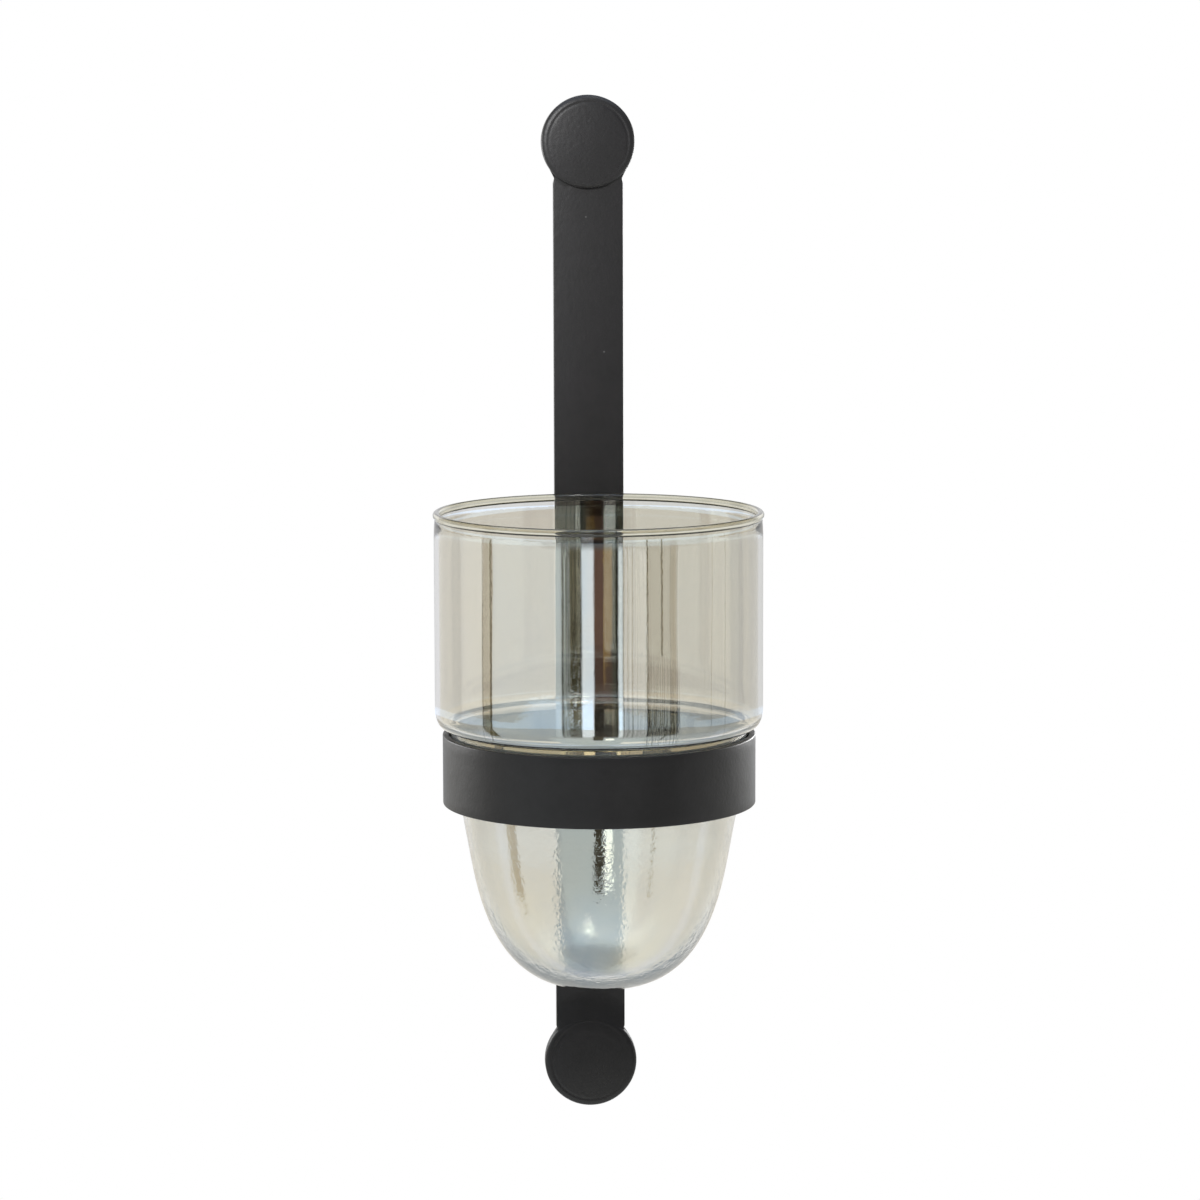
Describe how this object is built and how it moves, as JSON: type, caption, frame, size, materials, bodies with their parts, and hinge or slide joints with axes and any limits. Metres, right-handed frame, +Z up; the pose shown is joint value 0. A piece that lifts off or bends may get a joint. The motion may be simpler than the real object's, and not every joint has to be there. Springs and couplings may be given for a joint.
{
  "type": "wall tealight holder",
  "caption": "Wall tealight holder: a flat bar with round end caps carries a rolled ring, and a lustre glass with a wide top and a round bowl hangs in it by its shoulder and lifts out.",
  "frame": {"origin": "the middle of the upper keyhole's entry hole, in the plane of the wall behind the middle of the upper cap", "axes": "+Z up along the bar, +Y out of the back into the wall, so the ring and the glass stand out along -Y, and +X to the viewer's right"},
  "size_m": [0.1027, 0.1063, 0.33],
  "materials": {
    "black_steel": "matte black powder coat with a fine uneven grain",
    "lustre_glass": "clear blown glass with a thin champagne lustre that mirrors in silver blue"
  },
  "bodies": {
    "holder": {"wall_bar": "black_steel", "upper_cap": "black_steel", "lower_cap": "black_steel", "upper_keyhole_plate": "black_steel", "lower_keyhole_plate": "black_steel", "upper_cap_welds": "black_steel", "lower_cap_welds": "black_steel", "ring_spacer": "black_steel", "ring_welds": "black_steel", "holder_ring": "black_steel"},
    "glass": {"glass": "lustre_glass"}
  },
  "joints": [
    {"name": "glass_lift", "type": "slide", "parent": "holder", "child": "glass", "axis": [0, 0, 1], "range_m": [0, 0.09]}
  ]
}
